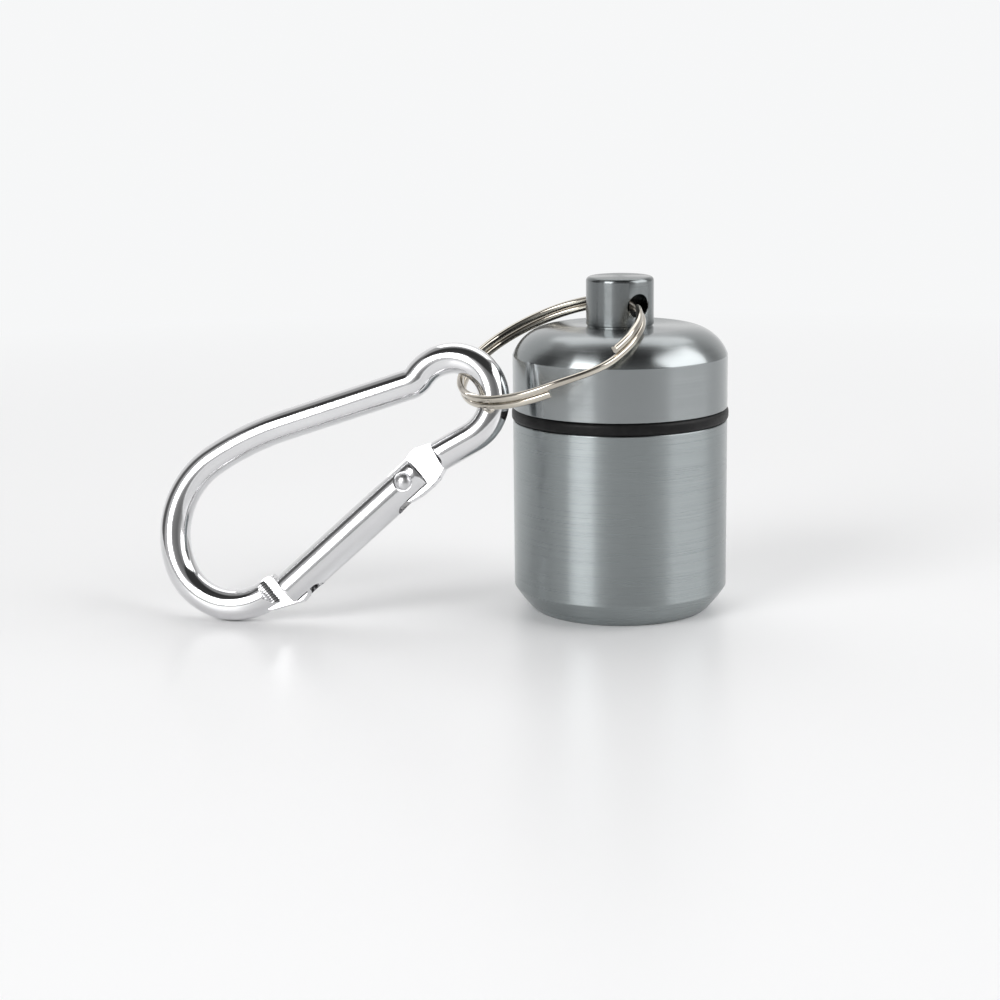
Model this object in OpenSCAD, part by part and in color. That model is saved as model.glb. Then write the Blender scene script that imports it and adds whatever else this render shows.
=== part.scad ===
// Pill case on a key ring, in millimetres.
// The case stands on z = 0 with its axis on x = y = 0, and +Z is up.

/* [Case] */
// Outside diameter of the case and of its cap
case_d = 28; // [26:0.5:34]
// Height of the cup, from its base to its rim
case_h = 25.1; // [22:0.1:40]
// Thickness of the cup's floor
floor_t = 2.5; // [1.5:0.1:4]
// Diameter of the pill chamber
chamber_d = 22; // [18:0.1:22.4]
// Diameter of the flat that the case stands on
base_d = 23; // [18:0.5:24]
// Height of the rounded bevel round the base
bevel_h = 3.1; // [1.5:0.1:5]
// Slope of the bevel where it leaves the side, in degrees from upright
bevel_lean = 31.8; // [24:0.2:34]

/* [Screw joint] */
// Outside diameter of the cap's thread
thread_d = 24; // [23.6:0.1:24.4]
// Depth of the thread
thread_depth = 0.5; // [0.3:0.05:0.6]
// Radial clearance between the threads
thread_gap = 0.1; // [0.05:0.05:0.2]
// How deep the cap's thread reaches into the cup
thread_len = 6.9; // [5:0.1:10]
// Free space under the end of the cap's thread
thread_end_gap = 0.2; // [0.1:0.1:1]

/* [Seal] */
// Height of the rubber ring between the cup and the cap
seal_h = 1.6; // [1:0.1:2.5]
// How far the rubber ring stands out from the metal
seal_proud = 0.15; // [0:0.05:0.3]
// Clearance between the rubber ring and the cap's neck
seal_gap = 0.1; // [0.05:0.05:0.3]

/* [Cap] */
// Height of the cap's straight side
cap_side_h = 6.9; // [5:0.1:12]
// Height of the cap's rounded shoulder
shoulder_h = 3.7; // [2:0.1:4.4]
// Diameter of the flat on top of the cap, where the shoulder ends
cap_flat_d = 17.4; // [14:0.2:19]
// Thickness of the cap's top
cap_top_t = 4.3; // [3:0.1:6]
// Diameter of the hollow in the cap
cap_hollow_d = 18; // [14:0.2:19]

/* [Knob] */
// Diameter of the knob
knob_d = 8.8; // [7:0.1:10]
// Height of the knob
knob_h = 6.4; // [5:0.1:9]
// Radius of the knob's top edge
knob_round = 0.55; // [0.3:0.05:1]
// Radius of the fillet at the foot of the knob
knob_fillet = 0.3; // [0.1:0.05:0.6]
// Diameter of the cross hole
hole_d = 3; // [2.8:0.1:3.4]
// Height of the cross hole's centre above the foot of the knob
hole_up = 2.9; // [2.4:0.1:3.4]
// Direction of the cross hole, in degrees from straight ahead towards +X
hole_turn = 31.3; // [0:0.1:60]

/* [Split ring] */
// Inside diameter of the ring
ring_in_d = 23.84; // [22:0.1:28]
// Thickness of the wire, measured outwards from the ring's centre
wire_t = 0.86; // [0.7:0.02:1]
// Width of the wire, measured along the ring's axis
wire_w = 0.93; // [0.7:0.01:1]
// Gap between the two turns
turn_gap = 0.05; // [0.03:0.01:0.1]
// How far the ring hangs below level
ring_tilt = 26.3; // [15:0.1:26.5]
// Where the upper turn ends, in degrees round the ring from the cross hole's direction
ring_end = 8; // [0:1:20]
// Length of the crossing between the turns, in degrees round the ring
ring_cross = 44; // [30:1:60]

/* [Carabiner] */
// Diameter of the carabiner's rod
rod_d = 4; // [3:0.1:4.4]
// Centre-line radius of the eye
eye_r = 5.5; // [5.2:0.05:7]
// Slope of the back, in degrees from level
back_slope = 19.4; // [14:0.2:22]
// Length of the straight back
back_len = 18.7; // [17:0.1:20]
// Centre-line radius of the first, slack bend
slack_r = 36.8; // [32:0.2:40]
// Turn of the slack bend in degrees
slack_turn = 16.5; // [14:0.5:18]
// Centre-line radius of the big bend
big_r = 11.3; // [11:0.05:12]
// Turn of the big bend in degrees
big_turn = 80.3; // [78:0.1:82]
// Centre-line radius of the foot bend
foot_r = 8.4; // [8:0.05:8.6]
// Thickness of the flats that the gate closes on
tongue_t = 1.75; // [1.4:0.05:2]
// Turn round the ring, in degrees, at which the carabiner hangs
hang_turn = 239; // [235:0.5:242]
// How far the carabiner leans back from upright, in degrees
lean = 17; // [15:0.5:19]
// How far the carabiner's plane is turned about +Z, in degrees
yaw = 14.5; // [13:0.5:16]

/* [Gate] */
// Diameter of the gate
gate_d = 4.7; // [4.2:0.05:5]
// Length of the gate
gate_len = 23.2; // [22.9:0.1:23.5]
// Slope of the gate, in degrees from level
gate_slope = 44.2; // [43.6:0.1:44.8]
// Diameter of the spring's bore in the gate
gate_bore = 3.4; // [3.2:0.05:3.5]
// Depth of the spring's bore
gate_bore_len = 15; // [13:0.1:17]
// Diameter of the gate's rivet
rivet_d = 1.2; // [1:0.05:1.3]
// Diameter of the rivet's heads
rivet_head_d = 2.4; // [2:0.1:2.6]
// Running clearance of the rivet in the tongue
rivet_gap = 0.05; // [0.03:0.01:0.08]
// Clearance of a tongue in its slot, on each side
slot_gap = 0.13; // [0.1:0.01:0.2]
// Diameter of the spring's wire
spring_wire = 0.35; // [0.25:0.05:0.45]
// Coils in the spring
spring_coils = 9; // [6:1:10]

/* [Hidden] */
$fn = 96;
// Past the surface that a cut goes through
over = 1;

case_r = case_d / 2;
seal_top = case_h + seal_h;
crease_z = seal_top + cap_side_h;
cap_z = crease_z + shoulder_h;
knob_top = cap_z + knob_h;
hole_z = cap_z + hole_up;
edge_break = 0.15;

// Screw joint: the plain core that carries the thread, and the bore that takes it.
core_r = thread_d / 2 - thread_depth;
thread_bore_r = thread_d / 2 + thread_gap;
thread_bore_h = thread_len + thread_end_gap;
core_z = case_h - thread_len;

// Bevel round the base: one arc from the foot of the side to the edge of the base.
bevel_w = case_r - base_d / 2;
bevel_chord = norm([bevel_w, bevel_h]);
bevel_r = bevel_chord / (2 * sin(atan2(bevel_w, bevel_h) - bevel_lean));
bevel_c = [case_r - bevel_r * cos(bevel_lean), bevel_h + bevel_r * sin(bevel_lean)];

// Shoulder of the cap: an arc that ends level with the cap's flat top.
flat_r = cap_flat_d / 2;
shoulder_w = case_r - flat_r;
shoulder_r = (shoulder_w * shoulder_w + shoulder_h * shoulder_h) / (2 * shoulder_h);

// Cup

module cup_outline() {
    translate([0, bevel_h]) square([case_r, case_h - bevel_h - edge_break]);
    translate([0, case_h - edge_break]) square([case_r - edge_break, edge_break]);
    intersection() {
        square([case_r, bevel_h]);
        translate(bevel_c) circle(bevel_r, $fn = 240);
    }
}

module case_body() {
    color([0.62, 0.61, 0.60])
    rotate_extrude()
    difference() {
        cup_outline();
        translate([0, floor_t]) square([chamber_d / 2, case_h]);
        translate([0, case_h - thread_bore_h]) square([thread_bore_r, thread_bore_h + over]);
    }
}

// Cap

module cap_outline() {
    translate([0, seal_top]) square([case_r - edge_break, edge_break]);
    translate([0, seal_top + edge_break]) square([case_r, cap_side_h - edge_break]);
    intersection() {
        translate([flat_r, cap_z - shoulder_r]) circle(shoulder_r, $fn = 240);
        translate([flat_r, crease_z]) square([case_r, shoulder_h]);
    }
    translate([0, crease_z]) square([flat_r, shoulder_h]);
    translate([0, core_z]) square([core_r, seal_top - core_z]);
}

module knob_outline() {
    knob_r = knob_d / 2;
    square([knob_r, knob_h - knob_round]);
    square([knob_r - knob_round, knob_h]);
    translate([knob_r - knob_round, knob_h - knob_round]) circle(knob_round);
    difference() {
        square([knob_r + knob_fillet, knob_fillet]);
        translate([knob_r + knob_fillet, knob_fillet]) circle(knob_fillet);
    }
}

module along_hole() {
    translate([0, 0, hole_z]) rotate([0, 0, hole_turn - 90]) children();
}

module cap() {
    color([0.66, 0.65, 0.64])
    difference() {
        rotate_extrude() {
            difference() {
                cap_outline();
                square([cap_hollow_d / 2, cap_z - cap_top_t]);
            }
            translate([0, cap_z]) knob_outline();
        }
        along_hole() rotate([0, 90, 0]) cylinder(d = hole_d, h = knob_d + 2 * over, center = true);
    }
}

// Rubber ring

seal_in_r = core_r + seal_gap;
seal_out_r = case_r + seal_proud;
seal_edge = 0.3;

module o_ring() {
    color([0.05, 0.05, 0.05])
    translate([0, 0, case_h])
    rotate_extrude() {
        translate([seal_in_r, 0]) square([seal_out_r - seal_edge - seal_in_r, seal_h]);
        translate([seal_in_r, seal_edge]) square([seal_out_r - seal_in_r, seal_h - 2 * seal_edge]);
        for (z = [seal_edge, seal_h - seal_edge])
            translate([seal_out_r - seal_edge, z]) circle(seal_edge);
    }
}

// Split ring: one wire in two turns, which crosses from the upper turn to the lower one.

ring_r = ring_in_d / 2 + wire_t / 2;
ring_rise = wire_w + turn_gap;
// A straight chord through the knob leaves this much bow on the wire inside the hole.
ring_bow = ring_r - sqrt(ring_r * ring_r - knob_d * knob_d / 4);
ring_off = ring_r - ring_bow / 2;
ring_steps = 132;
ring_sides = 12;
ring_sweep = 720 - ring_cross - 2;

function smooth(t) = t * t * (3 - 2 * t);
// Height of the wire in the ring, at an angle counted along the wire from its upper end
function wire_height(a) = let (done = (a - 360 + ring_cross) / ring_cross)
    ring_rise * (0.5 - smooth(min(1, max(0, done))));
function power(v, n) = sign(v) * pow(abs(v), n);
function wire_corner(i) = let (t = 360 * i / ring_sides + 180 / ring_sides)
    [wire_t / 2 * power(cos(t), 0.75), wire_w / 2 * power(sin(t), 0.75)];
function wire_point(a, c) = let (r = ring_r + c[0])
    [r * cos(ring_end + a), r * sin(ring_end + a), wire_height(a) + c[1]];

// A tube from rings of points: each ring has n points, and the two ends are closed.
module tube(rings, n) {
    last = len(rings) - 1;
    points = [for (ring = rings) each ring];
    sides = [
        for (i = [0:last - 1]) for (j = [0:n - 1])
        let (k = (j + 1) % n) each [
            [i * n + j, i * n + k, (i + 1) * n + k],
            [i * n + j, (i + 1) * n + k, (i + 1) * n + j]
        ]
    ];
    ends = [
        for (j = [1:n - 2]) each [
            [0, j + 1, j],
            [last * n, last * n + j, last * n + j + 1]
        ]
    ];
    polyhedron(points, concat(sides, ends));
}

module split_ring() {
    rings = [
        for (i = [0:ring_steps]) let (a = 1 + ring_sweep * i / ring_steps)
        [for (j = [0:ring_sides - 1]) wire_point(a, wire_corner(ring_sides - 1 - j))]
    ];
    color([0.78, 0.76, 0.72])
    along_hole() rotate([ring_tilt, 0, 0]) translate([0, -ring_off, 0]) tube(rings, ring_sides);
}

// Carabiner: drawn flat in its own plane, with the middle of the eye at the origin.

rod_r = rod_d / 2;
// Turn of the eye's arc, and where the back meets it
eye_sweep = 214.7;
eye_start = 156.2;
eye_tail = 5;
kink = eye_r * [cos(eye_start), sin(eye_start)];
foot_turn = 96.2;
foot_tail = 2.5;

// A piece of rod is [length, radius, turn, shave]. A straight has no radius, and a left turn is
// positive. Each bend is a hair thinner than its neighbours and laps into them, so that they
// join as one solid.
shave = 0.01;
lap = 0.15;
function bend_centre(s, seg) = let (k = sign(seg[2]) * seg[1])
    [s[0] - k * sin(s[2]), s[1] + k * cos(s[2])];
function walk(s, seg) = seg[1] == 0
    ? [s[0] + seg[0] * cos(s[2]), s[1] + seg[0] * sin(s[2]), s[2]]
    : let (c = bend_centre(s, seg), h = s[2] + seg[2], k = sign(seg[2]) * seg[1])
      [c[0] + k * sin(h), c[1] - k * cos(h), h];
function walks(s, segs, i = 0) = i == len(segs)
    ? [s]
    : concat([s], walks(walk(s, segs[i]), segs, i + 1));

// At the kink the back and the eye run past each other a little, which fills the outer corner.
kink_lap = 0.85;
kink_turn = 9;
eye_first = eye_start + kink_turn;
eye_start_state = [eye_r * cos(eye_first), eye_r * sin(eye_first), eye_first - 90];
eye_segs = [[0, eye_r, -eye_sweep - kink_turn, 1], [eye_tail, 0, 0, 0]];
back_start_state = [
    kink[0] + kink_lap * cos(back_slope),
    kink[1] + kink_lap * sin(back_slope),
    180 + back_slope
];
back_segs = [
    [back_len + kink_lap, 0, 0, 0],
    [0, slack_r, slack_turn, 1],
    [0, big_r, big_turn, 2],
    [0, foot_r, foot_turn, 1],
    [foot_tail, 0, 0, 0]
];

module rod_straight(s, seg) {
    translate([s[0], s[1], 0])
    rotate([0, 0, s[2]]) rotate([0, 90, 0])
    cylinder(r = rod_r, h = seg[0]);
}

module rod_bend(s, seg) {
    lap_turn = lap / seg[1] * 180 / PI;
    first = seg[2] > 0 ? s[2] - 90 : s[2] + 90 + seg[2];
    translate([each bend_centre(s, seg), 0])
    rotate([0, 0, first - lap_turn])
    rotate_extrude(angle = abs(seg[2]) + 2 * lap_turn)
    translate([seg[1], 0]) circle(rod_r - shave * seg[3], $fn = 48);
}

module rod(state, segs) {
    states = walks(state, segs);
    for (i = [0:len(segs) - 1])
        if (segs[i][1] == 0) rod_straight(states[i], segs[i]);
        else rod_bend(states[i], segs[i]);
}

// The gate's own frame: x runs along the gate from its rivet end to its nose end, y points
// outwards, and the origin is the middle of the gate.
gate_mid = [-12.32, -17.66];
gate_half = gate_len / 2;
gate_r = gate_d / 2;
hinge_end = -gate_half - 0.25;
nose_end = hinge_end + gate_len;
rivet_at = [hinge_end + 2.1, 0];
rivet_seat = 1.9;
rivet_dome = 0.65;
slot_w = tongue_t + 2 * slot_gap;
// The tongue ends this far past the rivet, square to the gate
tail_len = 1.5;
tail_x = rivet_at[0] + tail_len;
slot_end = tail_x + 1.8;
nose_slot = nose_end - 4.35;
nose_floor = -1.45;

module on_gate() {
    translate([gate_mid[0], gate_mid[1], 0]) rotate([0, 0, 180 + gate_slope]) children();
}

hinge_tongue = [
    [hinge_end - 4.1, -1.35],
    [hinge_end - 2.9, -1.95],
    [hinge_end - 1.6, -2.5],
    [hinge_end - 0.7, -2.5],
    [hinge_end + 0.2, -gate_r + 0.15],
    [tail_x - 0.25, -gate_r + 0.15],
    [tail_x, -gate_r + 0.4],
    [tail_x, gate_r - 0.35],
    [tail_x - 0.3, gate_r - 0.05],
    [tail_x - 1.9, gate_r + 0.2],
    [hinge_end - 0.2, gate_r + 0.3],
    [hinge_end - 1.5, gate_r + 0.15],
    [hinge_end - 3, gate_r - 0.4],
    [hinge_end - 4.1, 1.9]
];
nose_tongue = [
    [nose_end + 3.3, -2.9],
    [nose_end + 1.4, -3.2],
    [nose_end + 0.6, -3.05],
    [nose_end + 0.3, -2.6],
    [nose_end + 0.25, nose_floor + 0.1],
    [nose_end - 2.4, nose_floor + 0.1],
    [nose_end - 2.75, nose_floor + 0.45],
    [nose_end - 2.6, 1.5],
    [nose_end - 1.9, 2.25],
    [nose_end - 0.9, gate_r + 0.05],
    [nose_end + 0.6, 1.7],
    [nose_end + 3.3, 0.4]
];

// Round cutters that thin the rod down to its tongue on both sides
mill_r = 2.2;
mill_bite = 0.1;
module mill(x) {
    for (side = [-1, 1])
        translate([x, 0, side * (tongue_t / 2 + mill_r - mill_bite)])
        rotate([90, 0, 0])
        cylinder(r = mill_r, h = 4 * rod_d, center = true);
}

module carabiner_flat() {
    difference() {
        union() {
            rod(eye_start_state, eye_segs);
            rod(back_start_state, back_segs);
        }
        on_gate() {
            mill(hinge_end - 1.6);
            mill(nose_end + 0.7);
        }
    }
    on_gate() {
        difference() {
            linear_extrude(tongue_t, center = true) polygon(hinge_tongue);
            translate(rivet_at) cylinder(d = rivet_d + 2 * rivet_gap, h = rod_d, center = true);
        }
        linear_extrude(tongue_t, center = true) polygon(nose_tongue);
    }
}

// Where the carabiner hangs on the ring. The wire runs through the eye, just under its top.
wire_reach = 1.3;
eye_gap = 0.1;
hang_dir = 236.9;
hang_drop = eye_r - rod_r - wire_reach - eye_gap;
ring_spot = [ring_r * cos(hang_turn), ring_r * sin(hang_turn) - ring_off];
ring_turn = hole_turn - 90;
hang_point = [
    ring_spot[0] * cos(ring_turn) - ring_spot[1] * cos(ring_tilt) * sin(ring_turn),
    ring_spot[0] * sin(ring_turn) + ring_spot[1] * cos(ring_tilt) * cos(ring_turn),
    hole_z + ring_spot[1] * sin(ring_tilt)
];

module on_carabiner() {
    translate(hang_point) rotate([0, 0, -yaw]) rotate([90 - lean, 0, 0])
    translate(hang_drop * [cos(hang_dir), sin(hang_dir), 0]) children();
}

module carabiner_body() {
    color([0.85, 0.85, 0.86]) on_carabiner() carabiner_flat();
}

module gate_bar() {
    translate([hinge_end, 0, 0]) rotate([0, 90, 0]) cylinder(d = gate_d, h = gate_len);
}

module carabiner_gate() {
    color([0.82, 0.82, 0.84])
    on_carabiner() on_gate()
    difference() {
        gate_bar();
        translate([hinge_end - over, 0, 0])
            rotate([0, 90, 0]) cylinder(d = gate_bore, h = gate_bore_len + over);
        // Slot for the hinge tongue, with a round end
        translate([hinge_end - over, -gate_d, -slot_w / 2])
            cube([slot_end - slot_w / 2 - hinge_end + over, 2 * gate_d, slot_w]);
        translate([slot_end - slot_w / 2, 0, 0])
            rotate([90, 0, 0]) cylinder(d = slot_w, h = 2 * gate_d, center = true);
        // Slot for the nose, open outwards
        translate([nose_slot + slot_w / 2, nose_floor, -slot_w / 2])
            cube([nose_end - nose_slot, gate_d, slot_w]);
        translate([nose_slot + slot_w / 2, nose_floor, 0])
            rotate([-90, 0, 0]) cylinder(d = slot_w, h = gate_d);
        // Rivet hole, and a flat for each of the rivet's heads
        translate(rivet_at) cylinder(d = rivet_d, h = 2 * gate_d, center = true);
        for (side = [-1, 1])
            translate([rivet_at[0], rivet_at[1], side * (rivet_seat + gate_r / 2)])
            cylinder(d = rivet_head_d + 0.1, h = gate_r, center = true);
    }
}

module gate_rivet() {
    head_r = rivet_head_d / 2;
    dome_r = (head_r * head_r + rivet_dome * rivet_dome) / (2 * rivet_dome);
    color([0.75, 0.75, 0.76])
    on_carabiner() on_gate() translate(rivet_at) {
        cylinder(d = rivet_d, h = 2 * rivet_seat, center = true);
        for (side = [-1, 1])
            rotate([90 - 90 * side, 0, 0]) translate([0, 0, rivet_seat]) rotate_extrude()
            intersection() {
                translate([0, rivet_dome - dome_r]) circle(dome_r);
                square([head_r, rivet_dome]);
            }
    }
}

// Spring and plunger inside the gate

plunger_gap = 0.1;
plunger_head = 1.6;
plunger_stub = 1.5;
bore_run = 0.1;
plunger_x = tail_x + plunger_gap;
spring_seat = 0.1;
spring_r = gate_bore / 2 - bore_run - spring_wire / 2;
spring_x = plunger_x + plunger_head + spring_seat + spring_wire / 2;
spring_len = hinge_end + gate_bore_len - spring_seat - spring_wire / 2 - spring_x;
spring_rings = 8;
spring_sides = 6;

module spring_plunger() {
    color([0.8, 0.78, 0.7])
    on_carabiner() on_gate() translate([plunger_x, 0, 0]) rotate([0, 90, 0]) {
        cylinder(d = gate_bore - 2 * bore_run, h = plunger_head);
        cylinder(d = gate_bore - 2 * bore_run - 3 * spring_wire - 0.3, h = plunger_head + plunger_stub);
    }
}

function coil_point(i) = let (a = 360 * i / spring_rings)
    [spring_x + spring_len * i / (spring_rings * spring_coils), spring_r * cos(a), spring_r * sin(a)];
coil_path = [for (i = [0:spring_rings * spring_coils]) coil_point(i)];
coil_least = min([
    for (i = [0:len(coil_path) - 1]) for (j = [i + spring_rings - 2:1:len(coil_path) - 1])
    norm(coil_path[i] - coil_path[j])
]) - spring_wire;
echo(coil_least_gap = coil_least);

module gate_spring() {
    rings = [
        for (i = [0:spring_rings * spring_coils]) let (a = 360 * i / spring_rings)
        [
            for (j = [0:spring_sides - 1])
            let (t = 360 * j / spring_sides, r = spring_r + spring_wire / 2 * cos(t))
            [coil_path[i][0] + spring_wire / 2 * sin(t), r * cos(a), r * sin(a)]
        ]
    ];
    color([0.7, 0.7, 0.7])
    on_carabiner() on_gate() tube(rings, spring_sides);
}

case_body();
cap();
o_ring();
split_ring();
carabiner_body();
carabiner_gate();
gate_rivet();
gate_spring();
spring_plunger();
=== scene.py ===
# %% [markdown]
# # A pill case on a key ring
# The real object is a turned aluminium pill case with a screw cap and a black rubber ring in the
# joint. A split ring runs through the knob of the cap, and a small snap-gate carabiner hangs on
# the split ring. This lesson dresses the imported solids: it models the visible pieces again with
# rounded edges, threads and a smooth wire, and gives each one its metal or rubber. Everything is
# in metres, and each piece goes where its solid is.

import math

import bmesh
import bpy
from mathutils import Matrix, Vector


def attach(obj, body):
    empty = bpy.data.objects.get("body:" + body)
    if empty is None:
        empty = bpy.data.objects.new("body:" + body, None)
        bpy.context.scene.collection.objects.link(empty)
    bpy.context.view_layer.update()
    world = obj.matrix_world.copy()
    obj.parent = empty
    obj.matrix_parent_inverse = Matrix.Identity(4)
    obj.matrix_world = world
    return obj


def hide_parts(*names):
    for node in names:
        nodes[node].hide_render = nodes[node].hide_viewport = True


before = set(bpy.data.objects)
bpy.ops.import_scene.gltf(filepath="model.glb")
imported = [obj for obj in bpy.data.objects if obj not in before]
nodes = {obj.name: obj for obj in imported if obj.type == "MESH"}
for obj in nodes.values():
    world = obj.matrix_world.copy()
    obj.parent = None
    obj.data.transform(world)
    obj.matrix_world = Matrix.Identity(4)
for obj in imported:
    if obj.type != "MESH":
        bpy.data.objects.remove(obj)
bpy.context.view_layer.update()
scene = bpy.context.scene
MM = 0.001
print("solids:", ", ".join(sorted(nodes)))

# %% [markdown]
# ## The photographer's view
# The camera stands 28 cm in front of the case and looks down on it by 12 degrees. It is a 78 mm
# lens, so the pieces are hardly foreshortened. The picture is turned by a little more than half a
# degree, which a small roll of the camera gives.

# %% Camera
camera_data = bpy.data.cameras.new("camera")
camera_data.sensor_width = 36
camera_data.lens = 77.82
camera_data.clip_start = 0.01
camera = bpy.data.objects.new("camera", camera_data)
scene.collection.objects.link(camera)
stands_at = (-0.015845, -0.279336, 0.073460)
looks_down, tilt = 11.96, -0.69
pitch = math.radians(90 - looks_down)
roll = math.radians(tilt)
camera.matrix_world = (
    Matrix.Translation(stands_at)
    @ Matrix.Rotation(pitch, 4, "X")
    @ Matrix.Rotation(roll, 4, "Z")
)
scene.camera = camera
print("camera at", tuple(round(c, 4) for c in camera.location))

# %% [markdown]
# ## Small helpers for node materials
# Each material is a few nodes that end in one Principled shader. These helpers add a node and
# join two sockets, so that the recipe of each finish stays readable.

# %% Node helpers
def new_material(name):
    material = bpy.data.materials.new(name)
    material.use_nodes = True
    shader = material.node_tree.nodes["Principled BSDF"]
    return material, material.node_tree, shader


def add(tree, kind, **values):
    node = tree.nodes.new(kind)
    for key, value in values.items():
        setattr(node, key, value)
    return node


def join(tree, source, target):
    tree.links.new(source, target)


def noise_on(tree, vector, scale, detail, rough=0.5):
    noise = add(tree, "ShaderNodeTexNoise")
    noise.inputs["Scale"].default_value = scale
    noise.inputs["Detail"].default_value = detail
    noise.inputs["Roughness"].default_value = rough
    join(tree, vector, noise.inputs["Vector"])
    return noise.outputs["Fac"]


def stretch(tree, value, low, high, to_low, to_high):
    fit = add(tree, "ShaderNodeMapRange")
    ends = {"From Min": low, "From Max": high, "To Min": to_low, "To Max": to_high}
    for key, number in ends.items():
        fit.inputs[key].default_value = number
    join(tree, value, fit.inputs["Value"])
    return fit.outputs["Result"]


def bump_from(tree, value, shader, depth):
    bump = add(tree, "ShaderNodeBump")
    bump.inputs["Strength"].default_value = 1
    bump.inputs["Distance"].default_value = depth
    join(tree, value, bump.inputs["Height"])
    join(tree, bump.outputs["Normal"], shader.inputs["Normal"])


def between(tree, value, dark, light):
    ramp = add(tree, "ShaderNodeMix", data_type="RGBA")
    ramp.inputs["A"].default_value = (*dark, 1)
    ramp.inputs["B"].default_value = (*light, 1)
    join(tree, value, ramp.inputs["Factor"])
    return ramp.outputs["Result"]


print("helpers ready")

# %% [markdown]
# ## Lathe-turned aluminium
# The tool that turned the case left fine lines round it, and the grey anodising keeps them. The
# lines follow the distance from the axis and the height, so the noise is read from those two
# numbers: it gives rings on the flat top and level lines on the side. The same noise roughens the
# metal a little. The lines also smear a highlight across themselves, which is what the shader's
# anisotropy does, with a tangent that runs round the axis. A little of the X coordinate in the
# noise keeps the lines from being perfect rings. Knob and cap are one metal, but above the knob's
# foot the colour is darkened: painted shade for the darker reflections of the small knob.

# %% Turned metal
ring_drift, broad_share = 0.004, 0.2
knob_foot = (0.0372, 0.0376)  # metres up the axis, where the knob's painted shade begins


def turned_metal(name, dark, light, rough, pitch_mm, cut_depth, knob_painted_shade=1.0):
    material, tree, shader = new_material(name)
    place = add(tree, "ShaderNodeTexCoord").outputs["Object"]
    split = add(tree, "ShaderNodeSeparateXYZ")
    join(tree, place, split.inputs["Vector"])
    flat = add(tree, "ShaderNodeVectorMath", operation="MULTIPLY")
    flat.inputs[1].default_value = (1, 1, 0)
    join(tree, place, flat.inputs[0])
    radius = add(tree, "ShaderNodeVectorMath", operation="LENGTH")
    join(tree, flat.outputs["Vector"], radius.inputs[0])
    profile = add(tree, "ShaderNodeCombineXYZ")
    join(tree, radius.outputs["Value"], profile.inputs["X"])
    join(tree, split.outputs["Z"], profile.inputs["Y"])
    slow = add(tree, "ShaderNodeMath", operation="MULTIPLY")
    slow.inputs[1].default_value = ring_drift
    join(tree, split.outputs["X"], slow.inputs[0])
    join(tree, slow.outputs["Value"], profile.inputs["Z"])
    lines = noise_on(tree, profile.outputs["Vector"], 1000 / pitch_mm, 3, 0.65)
    broad = noise_on(tree, profile.outputs["Vector"], 900, 2)
    both = add(tree, "ShaderNodeMix")
    both.inputs["Factor"].default_value = broad_share
    join(tree, lines, both.inputs["A"])
    join(tree, broad, both.inputs["B"])
    mixed = both.outputs["Result"]
    # Painted shade: above the knob's foot the colour is multiplied down, for the knob's darker
    # reflections
    tone = add(tree, "ShaderNodeMix", data_type="RGBA", blend_type="MULTIPLY")
    tone.inputs["Factor"].default_value = 1
    dye = between(tree, stretch(tree, mixed, 0.3, 0.7, 0, 1), dark, light)
    join(tree, dye, tone.inputs["A"])
    join(tree, stretch(tree, split.outputs["Z"], *knob_foot, 1, knob_painted_shade), tone.inputs["B"])
    join(tree, tone.outputs["Result"], shader.inputs["Base Color"])
    gloss = stretch(tree, mixed, 0.3, 0.7, rough - 0.04, rough + 0.05)
    join(tree, gloss, shader.inputs["Roughness"])
    bump_from(tree, lines, shader, cut_depth)
    shader.inputs["Metallic"].default_value = 1
    shader.inputs["Anisotropic"].default_value = 0.92
    shader.inputs["Anisotropic Rotation"].default_value = 0.25
    around = add(tree, "ShaderNodeTangent", direction_type="RADIAL", axis="Z")
    join(tree, around.outputs["Tangent"], shader.inputs["Tangent"])
    return material


print("the knob's tone starts", *knob_foot, "metres up")

# %% The metal of the case and of the cap
case_metal = turned_metal(
    "case_metal", (0.295, 0.322, 0.328), (0.345, 0.372, 0.378), rough=0.29, pitch_mm=0.10,
    cut_depth=3.5e-7,
)
# The cap's knob keeps 0.70 of the colour, as painted shade for its darker reflections
cap_metal = turned_metal(
    "cap_metal", (0.295, 0.315, 0.320), (0.33, 0.350, 0.355), rough=0.22, pitch_mm=0.09,
    cut_depth=3e-7, knob_painted_shade=0.70,
)
print("turned metal:", case_metal.name, cap_metal.name)

# %% [markdown]
# ## Polished and plated metal, and rubber
# The carabiner is tumbled and polished aluminium, nearly a mirror, with hair scratches that all
# slant one way. The split ring is nickel plate, a little warmer. The rivet's head is peened, so it
# is softer than the rod. The rubber ring is satin black with a trace of dust.

# %% Polished metal
def polished_metal(name, dark, light, rough, scratch):
    material, tree, shader = new_material(name)
    place = add(tree, "ShaderNodeTexCoord").outputs["Object"]
    cloud = noise_on(tree, place, 260, 3)
    hairs = add(tree, "ShaderNodeMapping")
    hairs.inputs["Rotation"].default_value = (0.5, 0.8, 0.3)
    hairs.inputs["Scale"].default_value = (300, 5200, 5200)
    join(tree, place, hairs.inputs["Vector"])
    fine = noise_on(tree, hairs.outputs["Vector"], 1, 2, 0.6)
    join(tree, between(tree, cloud, dark, light), shader.inputs["Base Color"])
    gloss = stretch(tree, cloud, 0.3, 0.7, rough - 0.02, rough + 0.04)
    join(tree, gloss, shader.inputs["Roughness"])
    bump_from(tree, fine, shader, scratch)
    shader.inputs["Metallic"].default_value = 1
    return material


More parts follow.
